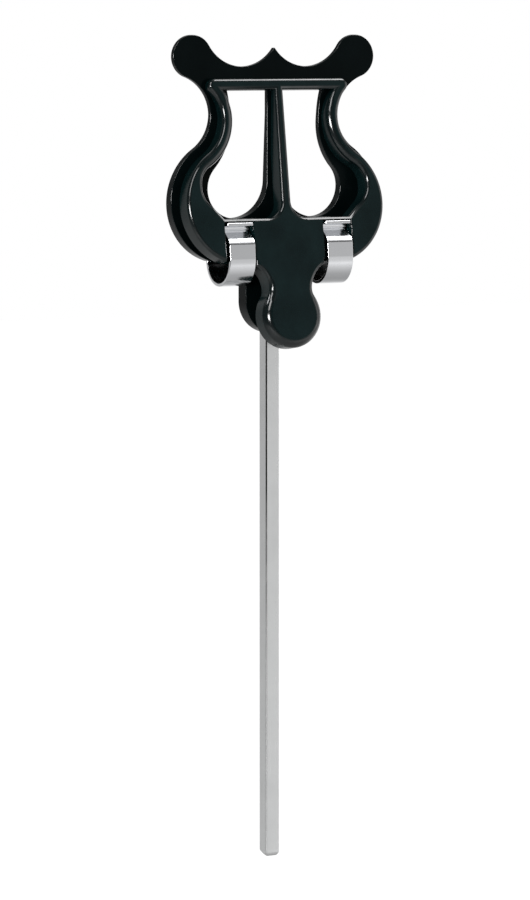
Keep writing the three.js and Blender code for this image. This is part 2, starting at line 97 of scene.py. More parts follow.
# %% [markdown]
# ## How the pieces are drawn
#
# The jaws are flat shapes whose outlines are circles that run into each other. By hand one would
# put down a single point and spin it round the centre of each arc in turn, so that every arc
# starts where the last one ended. The same is done here in code.
#
# The pieces are small, and Blender's operators have distances in them that suit a large object.
# So everything is modelled in millimetres, at a thousand times its size, and brought to metres
# when it is finished. Heights are measured from the rocking line of the front jaw.

# %% Drawing with arcs
MM = 0.001
ARC_STEP = 0.45
ARC_TURN = math.radians(7)
WELD = 0.001
RIGHT = 0.0
UP = math.pi / 2
LEFT = math.pi
DOWN = -math.pi / 2


def toward(a, b, near):
    """The direction from centre a to centre b, as an angle within half a turn of near."""
    angle = math.atan2(b[1] - a[1], b[0] - a[0])
    while angle < near - math.pi:
        angle += 2 * math.pi
    while angle > near + math.pi:
        angle -= 2 * math.pi
    return angle


def on_circle(circle, angle):
    return (circle[0] + circle[2] * math.cos(angle), circle[1] + circle[2] * math.sin(angle))


def waist_arc(waist, circle):
    """The hollow arc that stands upright at a waist and touches the circle beside it."""
    dx = waist[0] - circle[0]
    dh = waist[1] - circle[1]
    r = (dx * dx + dh * dh - circle[2] ** 2) / (2 * (circle[2] - dx))
    return (waist[0] + r, waist[1], r)


def put_point(x, h):
    """One loose point in the drawing plane, selected."""
    bpy.ops.mesh.select_all(action="DESELECT")
    bpy.ops.mesh.primitive_plane_add(size=1, location=(0, 0, 0))
    bpy.ops.mesh.merge(type="CENTER")
    bpy.ops.transform.translate(value=(x, 0, h))


def draw(path):
    """Draws a path of (x, h) points and (circle, from, to) arcs, each from the end of the last."""
    pen = None
    for item in path:
        goal = on_circle(item[0], item[1]) if len(item) == 3 else item
        if pen is None:
            put_point(*goal)
        elif math.dist(pen, goal) > WELD:
            step = (goal[0] - pen[0], 0, goal[1] - pen[1])
            bpy.ops.mesh.extrude_vertices_move(TRANSFORM_OT_translate={"value": step})
        pen = goal
        if len(item) == 3:
            circle, start, end = item
            angle = end - start
            steps = max(2, math.ceil(abs(angle) * max(circle[2] / ARC_STEP, 1 / ARC_TURN)))
            bpy.ops.mesh.spin(steps=steps, angle=angle, center=(circle[0], 0, circle[1]), axis=(0, 1, 0))
            pen = on_circle(circle, end)


def start_drawing(name):
    bpy.ops.object.select_all(action="DESELECT")
    bpy.ops.mesh.primitive_plane_add(size=1, location=(0, 0, 0))
    piece = bpy.context.object
    piece.name = name
    bpy.ops.object.mode_set(mode="EDIT")
    bpy.ops.mesh.select_mode(type="VERT")
    bpy.ops.mesh.delete(type="VERT")
    return piece


# %% [markdown]
# ## From a drawing to a plate
#
# A jaw is a plate with rounded edges. The drawing is filled and pulled back to a thickness. The
# front is then rounded by insetting it in small steps, each a little further in and a little
# further forward, along a quarter circle. An inset keeps the same width all round, in the windows
# too, which a plain scale would not. Each point also keeps a note of where on the drawing it
# started, so that the rounding can be made larger in one place than in another afterwards.

# %% Plates
FACING = 0.9
ROUNDING_SLACK = 1e-4


def select_only(piece):
    bpy.ops.object.select_all(action="DESELECT")
    piece.select_set(True)
    bpy.context.view_layer.objects.active = piece


def apply_modifier(piece, kind, **settings):
    select_only(piece)
    modifier = piece.modifiers.new(kind.lower(), kind)
    for key, value in settings.items():
        setattr(modifier, key, value)
    bpy.ops.object.modifier_apply(modifier=modifier.name)


def select_faces(piece, wanted):
    """Selects the faces for which wanted(face) is true, and goes to edit mode."""
    select_only(piece)
    bpy.ops.object.mode_set(mode="EDIT")
    bpy.ops.mesh.select_mode(type="FACE")
    bpy.ops.mesh.select_all(action="DESELECT")
    bpy.ops.object.mode_set(mode="OBJECT")
    for face in piece.data.polygons:
        face.select = wanted(face)
    bpy.ops.object.mode_set(mode="EDIT")


def round_selected(radius, steps):
    """Rounds the rim of the selected flat faces, which come forward by the radius."""
    for k in range(1, steps + 1):
        before = math.pi / 2 * (k - 1) / steps
        after = math.pi / 2 * k / steps
        bpy.ops.mesh.inset(
            thickness=radius * (math.cos(before) - math.cos(after)),
            depth=radius * (math.sin(after) - math.sin(before)),
            use_boundary=True,
            use_even_offset=True,
            use_interpolate=False,
        )


def make_plate(name, half_outline, half_window, front, back, front_round, back_round=0.0, steps=6):
    """A mirrored plate between two distances in front of the drawing plane."""
    piece = start_drawing(name)
    draw(half_outline)
    draw(half_window)
    bpy.ops.object.mode_set(mode="OBJECT")
    apply_modifier(piece, "MIRROR", use_clip=True, merge_threshold=WELD)
    bpy.ops.object.mode_set(mode="EDIT")
    bpy.ops.mesh.select_all(action="SELECT")
    bpy.ops.mesh.remove_doubles(threshold=WELD)
    bpy.ops.mesh.fill(use_beauty=True)
    bpy.ops.mesh.select_all(action="SELECT")
    bpy.ops.transform.translate(value=(0, -(front - front_round), 0))
    depth = (front - front_round) - (back + back_round)
    bpy.ops.mesh.extrude_region_move(TRANSFORM_OT_translate={"value": (0, depth, 0)})
    bpy.ops.mesh.select_all(action="SELECT")
    bpy.ops.mesh.normals_make_consistent(inside=False)
    bpy.ops.object.mode_set(mode="OBJECT")
    for axis, label in ((0, "start_x"), (2, "start_h")):
        layer = piece.data.attributes.new(label, "FLOAT", "POINT")
        layer.data.foreach_set("value", [point.co[axis] for point in piece.data.vertices])
    if front_round:
        select_faces(piece, lambda face: face.normal.y < -FACING)
        round_selected(front_round, steps)
        bpy.ops.object.mode_set(mode="OBJECT")
    if back_round:
        select_faces(piece, lambda face: face.normal.y > FACING)
        round_selected(back_round, steps)
        bpy.ops.object.mode_set(mode="OBJECT")
    print(name, "plate:", len(piece.data.polygons), "faces")
    return piece


def stretch_rounding(piece, front, radius, radius_at):
    """Changes the front rounding from place to place, by stretching each point's way in."""
    start_x, start_h = (piece.data.attributes[label].data for label in ("start_x", "start_h"))
    for point, x, h in zip(piece.data.vertices, start_x, start_h):
        if point.co.y < radius - front + ROUNDING_SLACK:
            factor = radius_at(x.value, h.value) / radius
            point.co.x = x.value + (point.co.x - x.value) * factor
            point.co.z = h.value + (point.co.z - h.value) * factor
            point.co.y = (point.co.y + front) * factor - front


# %% [markdown]
# ## Blocks and cuts
#
# Pockets, sockets and the slope of a back are cut with plain shapes that are taken away again.
# A cutter runs a little past the surface that it opens, because two faces in the same place
# would leave a film behind.
#
# A finished piece also gets a number on each of its points that says whether the point lies inside a rounded
# edge. Handling polishes the plastic there, and the springs' plating goes thin and dark there; on the stem a
# painted dark reflection is laid along the arrises there. So the finishes need to know where the edges are.

# %% Cutters
PAST = 5
ALONG_X, ALONG_Y = 0, 1
SIDE_ON = 0.03
FACE_ON = 0.997
FINAL_WELD = 0.002
SMOOTH_BELOW = math.radians(32)
ROD_SIDES = 48


def block(low, high):
    centre = [(a + b) / 2 for a, b in zip(low, high)]
    size = [b - a for a, b in zip(low, high)]
    bpy.ops.object.select_all(action="DESELECT")
    bpy.ops.mesh.primitive_cube_add(size=1, location=centre, scale=size)
    bpy.ops.object.transform_apply(location=True, rotation=True, scale=True)
    return bpy.context.object


def rod_along_x(radius, length, y, z):
    bpy.ops.object.select_all(action="DESELECT")
    bpy.ops.mesh.primitive_cylinder_add(
        vertices=ROD_SIDES, radius=radius, depth=length,
        location=(0, y, z), rotation=(0, math.pi / 2, 0),
    )
    bpy.ops.object.transform_apply(location=True, rotation=True, scale=True)
    return bpy.context.object


def side_profile(name, corners, half_width):
    """A bar along x whose side is drawn by corners of (front, h)."""
    piece = start_drawing(name)
    draw(corners)
    bpy.ops.mesh.select_all(action="SELECT")
    bpy.ops.mesh.edge_face_add()
    bpy.ops.transform.translate(value=(0, -half_width, 0))
    bpy.ops.mesh.extrude_region_move(TRANSFORM_OT_translate={"value": (0, 2 * half_width, 0)})
    bpy.ops.mesh.select_all(action="SELECT")
    bpy.ops.mesh.normals_make_consistent(inside=False)
    bpy.ops.object.mode_set(mode="OBJECT")
    piece.rotation_euler = (0, 0, -math.pi / 2)
    bpy.ops.object.transform_apply(location=True, rotation=True, scale=True)
    return piece


def combine(piece, other, operation):
    """Joins or cuts with another mesh, which is used up."""
    apply_modifier(piece, "BOOLEAN", object=other, operation=operation, solver="EXACT")
    bpy.data.objects.remove(other, do_unlink=True)


def mark_edges(piece, axis):
    """Numbers the points: 1 inside a rounding that turns away from an axis, and 0 elsewhere."""
    on_edge = [True] * len(piece.data.vertices)
    for face in piece.data.polygons:
        turned = SIDE_ON < abs(face.normal[axis]) < FACE_ON
        for index in face.vertices:
            on_edge[index] = on_edge[index] and turned
    layer = piece.data.attributes.new("edge", "FLOAT", "POINT")
    layer.data.foreach_set("value", [float(here) for here in on_edge])
    print(piece.name, "points on edges:", sum(on_edge), "of", len(on_edge))


def finish_piece(piece, place, axis, lean=0.0):
    """Shades a piece, puts it at its place and brings it from millimetres to metres."""
    select_only(piece)
    bpy.ops.object.mode_set(mode="EDIT")
    bpy.ops.mesh.select_all(action="SELECT")
    bpy.ops.mesh.remove_doubles(threshold=FINAL_WELD)
    bpy.ops.mesh.normals_make_consistent(inside=False)
    bpy.ops.object.mode_set(mode="OBJECT")
    mark_edges(piece, axis)
    bpy.ops.object.shade_smooth_by_angle(angle=SMOOTH_BELOW)
    apply_modifier(piece, "WEIGHTED_NORMAL", keep_sharp=True, weight=100)
    piece.rotation_euler = (-lean, 0, 0)
    piece.location = place
    bpy.ops.object.transform_apply(location=True, rotation=True, scale=True)
    piece.scale = (MM, MM, MM)
    bpy.ops.object.transform_apply(location=True, rotation=True, scale=True)
    triangles = sum(len(face.vertices) - 2 for face in piece.data.polygons)
    print(piece.name, "triangles:", triangles)


# %% [markdown]
# ## Sizes that the pieces share
#
# These are the real sizes in millimetres, the same as the model's. The stem is a stock bar, and
# the rest was scaled from it.

# %% Shared sizes
STEM_SIDE = 4.5
SEAT_GAP = 0.3
ROCK_HEIGHT = 177.3
ROCK_FRONT = 5.0
REAR_FACE = 3.3
BLOCK_HALF = 11.4
POCKET_OUTER = 20.9
POCKET_TOP = 11.85
RIDGE_RADIUS = 1.5
BOX = {node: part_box(node) for node in ("stem", "rear_jaw", "front_jaw", "left_spring", "right_spring")}
stem_low, stem_high = BOX["stem"]
for node, corners in BOX.items():
    print(node, [round((b - a) / MM, 2) for a, b in zip(*corners)], "mm")

# %% [markdown]
# ## The rear jaw
#
# The rear jaw is the larger frame. Its top ends in two round horns with a peak between them, and
# its lower half swells out like a lyre. It is thin at the horns and thick at the thumb paddle,
# where it takes the stem. All of its edges are slightly rounded, as on any moulded part.

# %% Rear jaw
BALL = (26.85, 60.65, 6.3)
SCALLOP_LOW = (10.55, 57.75)
PEAK_RADIUS = 0.25
REAR_WAIST = (21.1, 43.5)
REAR_BULGE = (15.5, 18.7, 18.5)
REAR_LOWER_EDGE = 0.5
REAR_PADDLE = (0, -11.2, 9.45)
REAR_PADDLE_FILLET = 2.5
REAR_WINDOW_TOP = 50.9
REAR_STRUT_HALF = 2.5
REAR_WINDOW_CORNER = (13.2, 24.15, 10.7)
REAR_WINDOW_BULGE = (13.2, 22.2, 8.75)
REAR_WINDOW_WAIST = (14.5, 41.6)
REAR_WINDOW_UPPER_RADIUS = 38
REAR_EDGE_ROUND = 0.2
REAR_TOP_THICKNESS = 1.65
REAR_PADDLE_THICKNESS = 5
REAR_TAPER_TOP = 44
REAR_TAPER_END = -7.3
REAR_POCKET_PLATE = 2.2


def rear_outline():
    rise = SCALLOP_LOW[1] - BALL[1]
    span = BALL[0] - SCALLOP_LOW[0]
    r = (span ** 2 + rise ** 2 - BALL[2] ** 2) / (2 * (BALL[2] - rise))
    scallop = (SCALLOP_LOW[0], SCALLOP_LOW[1] + r, r)
    reach = math.sqrt((r + PEAK_RADIUS) ** 2 - SCALLOP_LOW[0] ** 2)
    peak = (0, scallop[1] - reach, PEAK_RADIUS)
    upper = waist_arc(REAR_WAIST, BALL)
    lower = waist_arc(REAR_WAIST, REAR_BULGE)
    foot = math.asin((REAR_LOWER_EDGE - REAR_BULGE[1]) / REAR_BULGE[2])
    fillet = (REAR_PADDLE[2] + REAR_PADDLE_FILLET, REAR_LOWER_EDGE - REAR_PADDLE_FILLET, REAR_PADDLE_FILLET)
    return [
        (peak, UP, toward(peak, scallop, RIGHT)),
        (scallop, toward(scallop, peak, 1.25 * math.pi), toward(scallop, BALL, 1.75 * math.pi)),
        (BALL, toward(BALL, scallop, 0.8 * math.pi), toward(BALL, upper, -0.4 * math.pi)),
        (upper, toward(upper, BALL, 0.6 * math.pi), LEFT),
        (lower, LEFT, toward(lower, REAR_BULGE, 1.3 * math.pi)),
        (REAR_BULGE, toward(REAR_BULGE, lower, 0.3 * math.pi), foot),
        (fillet, UP, LEFT),
        (REAR_PADDLE, RIGHT, DOWN),
    ]


def rear_window():
    waist = REAR_WINDOW_WAIST
    lower = waist_arc(waist, REAR_WINDOW_BULGE)
    upper = (waist[0] + REAR_WINDOW_UPPER_RADIUS, waist[1], REAR_WINDOW_UPPER_RADIUS)
    top = math.pi - math.asin((REAR_WINDOW_TOP - upper[1]) / upper[2])
    return [
        (REAR_STRUT_HALF, REAR_WINDOW_TOP),
        (upper, top, LEFT),
        (lower, LEFT, toward(lower, REAR_WINDOW_BULGE, 1.25 * math.pi)),
        (REAR_WINDOW_BULGE, toward(REAR_WINDOW_BULGE, lower, 0.25 * math.pi), DOWN),
        (REAR_WINDOW_CORNER, DOWN, -math.pi),
        (REAR_STRUT_HALF, REAR_WINDOW_TOP),
    ]


rear_jaw = make_plate(
    "rear_jaw_moulded", rear_outline(), rear_window(), REAR_FACE, REAR_FACE - REAR_TOP_THICKNESS,
    REAR_EDGE_ROUND, REAR_EDGE_ROUND, steps=3,
)

# %% [markdown]
# The back slopes out from the waist down to the paddle. A bisect first puts a line of points
# across the plate where the slope begins, and the points of the back below it then slide
# backward, each by its own depth under that line.

# %% Slope of the back
slope = (REAR_PADDLE_THICKNESS - REAR_TOP_THICKNESS) / (REAR_TAPER_TOP - REAR_TAPER_END)
for height in (REAR_TAPER_TOP, REAR_TAPER_END):
    bpy.ops.object.mode_set(mode="EDIT")
    bpy.ops.mesh.select_all(action="SELECT")
    bpy.ops.mesh.bisect(plane_co=(0, 0, height), plane_no=(0, 0, 1))
    bpy.ops.object.mode_set(mode="OBJECT")
middle = -REAR_FACE + REAR_TOP_THICKNESS / 2
for point in rear_jaw.data.vertices:
    if point.co.y > middle:
        below = min(max(REAR_TAPER_TOP - point.co.z, 0), REAR_TAPER_TOP - REAR_TAPER_END)
        point.co.y += slope * below

# %% [markdown]
# A boss on the back holds the stem, and a low saddle on the front face carries the ridge that the
# front jaw rocks on. Behind each spring there is a shallow pocket.

# %% Boss, saddle and pockets
SOCKET_WALL = 1.3
SOCKET_CAP = 2
SOCKET_SKIN = 0.75
SADDLE_HALF = 10
SADDLE_HEIGHT = 6
SADDLE_RISE = 1.4
SADDLE_ROOT = 1
BOSS_ROUND = 0.35
BOSS_FOOT_RISE = 0.2
socket_half = STEM_SIDE / 2 + SEAT_GAP
boss_half = socket_half + SOCKET_WALL
socket_top = stem_high[2] / MM - ROCK_HEIGHT + SEAT_GAP
boss_foot = REAR_PADDLE[1] - math.sqrt(REAR_PADDLE[2] ** 2 - boss_half ** 2) + BOSS_FOOT_RISE

boss = block(
    (-boss_half, -(REAR_FACE - SOCKET_SKIN), boss_foot),
    (boss_half, boss_half, socket_top + SOCKET_CAP),
)
apply_modifier(boss, "BEVEL", width=BOSS_ROUND, segments=3, limit_method="ANGLE")
combine(rear_jaw, boss, "UNION")
saddle = block(
    (-SADDLE_HALF, -(REAR_FACE + SADDLE_RISE), -SADDLE_HEIGHT / 2),
    (SADDLE_HALF, -(REAR_FACE - SADDLE_ROOT), SADDLE_HEIGHT / 2),
)
combine(rear_jaw, saddle, "UNION")
rocker = rod_along_x(RIDGE_RADIUS + SEAT_GAP, 2 * SADDLE_HALF + PAST, -ROCK_FRONT, 0)
combine(rear_jaw, rocker, "DIFFERENCE")
combine(rear_jaw, block(
    (-socket_half, -socket_half, REAR_PADDLE[1] - REAR_PADDLE[2] - PAST),
    (socket_half, socket_half, socket_top),
), "DIFFERENCE")
for side in (-1, 1):
    inner, outer = sorted((side * BLOCK_HALF, side * POCKET_OUTER))
    combine(rear_jaw, block(
        (inner, -(REAR_FACE - REAR_POCKET_PLATE), REAR_LOWER_EDGE - PAST),
        (outer, PAST, POCKET_TOP),
    ), "DIFFERENCE")
finish_piece(rear_jaw, (0, 0, ROCK_HEIGHT), ALONG_Y)

# %% [markdown]
# ## The front jaw
#
# The front jaw is a smaller lyre with no horns. Its front edges are rounded much more, and most of
# all round the thumb paddle and on the inside of the arms. The plate is made with one small radius
# all round, and the rounding is then stretched where it should be larger.

# %% Front jaw
FRONT_LEAN = math.radians(8.2)
FRONT_FACE = 8.8
FRONT_TOP = 53.7
FRONT_CORNER = (20.9, 51.65, 2.05)
FRONT_WAIST = (19, 42.25)
FRONT_BULGE = (14.38, 16.92, 17.94)
FRONT_LOWER_EDGE = 0
BLOCK_FOOT = -1.1
PADDLE_NECK = (7, -8)
FRONT_PADDLE = (0, -15.9, 9.55)
FRONT_WINDOW_TOP = 50.35
FRONT_WINDOW_LOW = 12.75
FRONT_STRUT_HALF_TOP = 1.3
FRONT_STRUT_HALF_LOW = 1.5
FRONT_WINDOW_CORNER_RADIUS = 4.95
FRONT_WINDOW_BULGE = (20.9, 22.6, 6.1)
FRONT_WINDOW_HEEL = (20.9, 21.7, 6.1)
FRONT_WINDOW_WAIST = (15.45, 42.4)
FRONT_WINDOW_UPPER_RADIUS = 12.5
FRONT_EDGE_ROUND = 1.1
PADDLE_EDGE_ROUND = 2.35
NECK_TOP = -3
NECK_FOOT = -13
ARM_ROUND = 2
ARM_ROUND_LOW = 18
ARM_ROUND_FULL = 32
ARM_ROUND_HIGH = 45
CONTOUR_STEPS = 60


def front_outline():
    upper = waist_arc(FRONT_WAIST, FRONT_CORNER)
    lower = waist_arc(FRONT_WAIST, FRONT_BULGE)
    neck = waist_arc(PADDLE_NECK, FRONT_PADDLE)
    foot = waist_arc(PADDLE_NECK, (BLOCK_HALF, BLOCK_FOOT, 0))
    end = math.asin((FRONT_LOWER_EDGE - FRONT_BULGE[1]) / FRONT_BULGE[2])
    return [
        (0, FRONT_TOP),
        (FRONT_CORNER, UP, toward(FRONT_CORNER, upper, -0.25 * math.pi)),
        (upper, toward(upper, FRONT_CORNER, 0.75 * math.pi), LEFT),
        (lower, LEFT, toward(lower, FRONT_BULGE, 1.3 * math.pi)),
        (FRONT_BULGE, toward(FRONT_BULGE, lower, 0.3 * math.pi), end),
        (BLOCK_HALF, FRONT_LOWER_EDGE),
        (BLOCK_HALF, BLOCK_FOOT),
        (foot, toward(foot, (BLOCK_HALF, BLOCK_FOOT), 0.8 * math.pi), LEFT),
        (neck, LEFT, toward(neck, FRONT_PADDLE, 1.2 * math.pi)),
        (FRONT_PADDLE, toward(FRONT_PADDLE, neck, 0.2 * math.pi), DOWN),
    ]


def front_window():
    bulge = FRONT_WINDOW_BULGE
    heel = FRONT_WINDOW_HEEL
    slope = heel[0] - heel[1] + heel[2] * math.sqrt(2)
    waist = FRONT_WINDOW_WAIST
    upper = (waist[0] + FRONT_WINDOW_UPPER_RADIUS, waist[1], FRONT_WINDOW_UPPER_RADIUS)
    lower = waist_arc(waist, bulge)
    top = math.pi - math.asin((FRONT_WINDOW_TOP - upper[1]) / upper[2])
    corner = (
        FRONT_STRUT_HALF_LOW + FRONT_WINDOW_CORNER_RADIUS,
        FRONT_WINDOW_LOW + FRONT_WINDOW_CORNER_RADIUS,
        FRONT_WINDOW_CORNER_RADIUS,
    )
    return [
        (FRONT_STRUT_HALF_TOP, FRONT_WINDOW_TOP),
        (upper, top, LEFT),
        (lower, LEFT, toward(lower, bulge, 1.25 * math.pi)),
        (bulge, toward(bulge, lower, 0.25 * math.pi), RIGHT),
        (heel, RIGHT, DOWN / 2),
        (FRONT_WINDOW_LOW + slope, FRONT_WINDOW_LOW),
        (corner, DOWN, -math.pi),
        (FRONT_STRUT_HALF_TOP, FRONT_WINDOW_TOP),
    ]


front_jaw = make_plate(
    "front_jaw_moulded", front_outline(), front_window(), FRONT_FACE, -FRONT_EDGE_ROUND, FRONT_EDGE_ROUND,
)


def eased(value, low, high):
    t = min(max((value - low) / (high - low), 0), 1)
    return t * t * (3 - 2 * t)


def contour_points(contour):
    """Points along a drawn contour, close enough together to measure distances to it."""
    points = []
    for item in contour:
        if len(item) == 3:
            circle, start, end = item
            angles = [start + (end - start) * k / CONTOUR_STEPS for k in range(CONTOUR_STEPS + 1)]
            points += [on_circle(circle, angle) for angle in angles]
        else:
            points.append(item)
    return points


arm_side = [point for point in contour_points(front_window()) if point[0] > 2 * FRONT_WINDOW_CORNER_RADIUS]
outer_side = contour_points(front_outline())


def beside_window(x, h):
    """Whether a point of the drawing is on a window's arm side rather than on the outline."""
    to_window, to_outside = (
        min(math.dist((abs(x), h), point) for point in side) for side in (arm_side, outer_side)
    )
    return to_window < to_outside and abs(x) > 2 * FRONT_WINDOW_CORNER_RADIUS


def front_radius(x, h):
    """The radius of the rounding for a point of the outline or of a window."""
    grown = eased(h, NECK_TOP, NECK_FOOT)
    if grown:
        return FRONT_EDGE_ROUND + grown * (PADDLE_EDGE_ROUND - FRONT_EDGE_ROUND)
    if h < ARM_ROUND_LOW or not beside_window(x, h):
        return FRONT_EDGE_ROUND
    full = eased(h, ARM_ROUND_LOW, ARM_ROUND_FULL) * (1 - eased(h, ARM_ROUND_HIGH, FRONT_WINDOW_TOP))
    return FRONT_EDGE_ROUND + full * (ARM_ROUND - FRONT_EDGE_ROUND)


stretch_rounding(front_jaw, FRONT_FACE, FRONT_EDGE_ROUND, front_radius)

# %% [markdown]
# The upper half of the back is a flat grip that lies along the rear jaw. Below it the frame keeps
# one thickness, and only the block between the pockets reaches back to the ridge. A pocket on each
# side of the block takes the end of a spring, with a small bevel round its mouth, and the paddle
# is hollow from behind.

# %% Back, pockets and hollow
GRIP = REAR_FACE + SEAT_GAP - ROCK_FRONT
FRONT_THICKNESS = 5.6
FRONT_BLOCK_BACK = 0.8
FRONT_PADDLE_DEPTH = 6.4
FRONT_PADDLE_WALL = 1.7
FRONT_PADDLE_SKIN = 1.9
FRONT_POCKET_DEPTH = 3.65
RIDGE_HALF = 10
POCKET_ROUND = 0.3
EDGE_HAIR = 0.01
HOLLOW_SIDES = 96
grip_front = (GRIP + FRONT_TOP * math.sin(FRONT_LEAN)) / math.cos(FRONT_LEAN)
paddle_back = FRONT_FACE - FRONT_PADDLE_DEPTH
wide = FRONT_BULGE[0] + FRONT_BULGE[2] + PAST
low = FRONT_PADDLE[1] - FRONT_PADDLE[2] - PAST
block_low = -RIDGE_RADIUS - SEAT_GAP
frame_back = FRONT_FACE - FRONT_THICKNESS
grip_foot = (frame_back * math.cos(FRONT_LEAN) - GRIP) / math.sin(FRONT_LEAN)
block_foot = block_low - (paddle_back - FRONT_BLOCK_BACK)

behind = side_profile("behind", [
    (grip_front, FRONT_TOP),
    (grip_front, FRONT_TOP + PAST),
    (-PAST, FRONT_TOP + PAST),
    (-PAST, low),
    (paddle_back, low),
    (paddle_back, FRONT_LOWER_EDGE),
    (frame_back, FRONT_LOWER_EDGE),
    (frame_back, grip_foot),
    (grip_front, FRONT_TOP),
], wide)
block_back = side_profile("block_back", [
    (FRONT_BLOCK_BACK, block_low),
    (FRONT_BLOCK_BACK, FRONT_WINDOW_LOW - frame_back + FRONT_BLOCK_BACK),
    (frame_back, FRONT_WINDOW_LOW),
    (FRONT_FACE, FRONT_WINDOW_LOW),
    (FRONT_FACE, block_foot),
    (paddle_back, block_foot),
    (FRONT_BLOCK_BACK, block_low),
], BLOCK_HALF)
combine(behind, block_back, "DIFFERENCE")
combine(front_jaw, behind, "DIFFERENCE")
for side in (-1, 1):
    inner, outer = sorted((side * BLOCK_HALF, side * POCKET_OUTER))
    combine(front_jaw, block(
        (inner, -(FRONT_FACE + PAST), FRONT_LOWER_EDGE - PAST),
        (outer, -(FRONT_FACE - FRONT_POCKET_DEPTH), POCKET_TOP),
    ), "DIFFERENCE")


def at_pocket(end):
    """Whether a point is on the front plane and in or beside one of the pockets."""
    within = BLOCK_HALF - EDGE_HAIR < abs(end.x) < POCKET_OUTER + EDGE_HAIR
    return end.y < EDGE_HAIR - FRONT_FACE and end.z < POCKET_TOP + EDGE_HAIR and within


def on_rim(ends):
    """Whether an edge lies on the front plane and touches a side wall of a pocket."""
    walls = (BLOCK_HALF, POCKET_OUTER)
    nearest = min(abs(abs(end.x) - wall) for end in ends for wall in walls)
    return all(at_pocket(end) for end in ends) and nearest < EDGE_HAIR


select_only(front_jaw)
bpy.ops.object.mode_set(mode="EDIT")
bpy.ops.mesh.select_mode(type="EDGE")
bpy.ops.mesh.select_all(action="DESELECT")
bpy.ops.object.mode_set(mode="OBJECT")
for edge in front_jaw.data.edges:
    edge.select = on_rim([front_jaw.data.vertices[index].co for index in edge.vertices])
rims = sum(edge.select for edge in front_jaw.data.edges)
bpy.ops.object.mode_set(mode="EDIT")
bpy.ops.mesh.bevel(offset=POCKET_ROUND, segments=3, affect="EDGES", clamp_overlap=False)
bpy.ops.object.mode_set(mode="OBJECT")
print("rounded edges round the pockets:", rims)

bpy.ops.object.select_all(action="DESELECT")
hollow_front = FRONT_FACE - FRONT_PADDLE_SKIN
hollow_depth = FRONT_PADDLE_DEPTH - FRONT_PADDLE_SKIN + PAST
bpy.ops.mesh.primitive_cylinder_add(
    vertices=HOLLOW_SIDES, radius=FRONT_PADDLE[2] - FRONT_PADDLE_WALL, depth=hollow_depth,
    location=(0, -(hollow_front - hollow_depth / 2), FRONT_PADDLE[1]), rotation=(math.pi / 2, 0, 0),
)
bpy.ops.object.transform_apply(location=True, rotation=True, scale=True)
combine(front_jaw, bpy.context.object, "DIFFERENCE")
combine(front_jaw, rod_along_x(RIDGE_RADIUS, 2 * RIDGE_HALF, 0, 0), "UNION")
finish_piece(front_jaw, (0, -ROCK_FRONT, ROCK_HEIGHT), ALONG_Y, FRONT_LEAN)

# %% [markdown]
# ## The springs
#
# Each spring is a flat steel band bent into a C. Both of its ends turn through a valley that sits
# in a jaw's pocket, and then hook outward into a short lip. The band is drawn as its middle line
# seen from the side, pulled out to its width, and given its thickness by Solidify. A small bevel
# takes the sharpness off its edges, where the light catches it.

# %% Springs
BAND_THICKNESS = 0.9
BAND_WIDTH = 8.3
BAND_BEND = 1.2
BAND_SHOULDER = 2.5
BAND_BOW = 7.4
BAND_EDGE_ROUND = 0.14
BAND_EDGE_ANGLE = math.radians(50)
BOW = (6.6, 1.7)
SHOULDER = (11.2, 5.7)
REAR_SHOULDER_HEIGHT = 6.6
VALLEY_HEIGHT = 10.8
REAR_VALLEY_HEIGHT = 9.8
LIP_REACH = 2.1
LIP_HEIGHT = 12.15
REAR_LIP_HEIGHT = 11


def belt(circles):
    """A path that runs along circles of (x, h, r, turn) like a belt, as points and arcs."""
    headings = []
    for a, b in zip(circles, circles[1:]):
        pull = (b[3] * b[2] - a[3] * a[2]) / math.dist(a[:2], b[:2])
        headings.append(math.atan2(b[1] - a[1], b[0] - a[0]) - math.asin(pull))
    path = [circles[0][:2]]
    for circle, into, out in zip(circles[1:-1], headings, headings[1:]):
        turn = circle[3]
        swing = (out - into) % (2 * math.pi) if turn > 0 else -((into - out) % (2 * math.pi))
        start = into - turn * math.pi / 2
        path.append((circle[:3], start, start + swing))
    path.append(circles[-1][:2])
    return path


seat = SEAT_GAP + BAND_THICKNESS / 2 + BAND_BEND
pocket_floor = FRONT_FACE - FRONT_POCKET_DEPTH
lean_back = VALLEY_HEIGHT * math.sin(FRONT_LEAN)
front_valley = ROCK_FRONT + (pocket_floor + seat - lean_back) / math.cos(FRONT_LEAN)
rear_valley = REAR_FACE - REAR_POCKET_PLATE - seat
band_line = belt([
    (front_valley + LIP_REACH, LIP_HEIGHT, 0, 1),
    (front_valley, VALLEY_HEIGHT, BAND_BEND, 1),
    (*SHOULDER, BAND_SHOULDER, -1),
    (*BOW, BAND_BOW, -1),
    (BOW[0] - BAND_BOW + BAND_SHOULDER, REAR_SHOULDER_HEIGHT, BAND_SHOULDER, -1),
    (rear_valley, REAR_VALLEY_HEIGHT, BAND_BEND, 1),
    (rear_valley - LIP_REACH, REAR_LIP_HEIGHT, 0, 1),
])


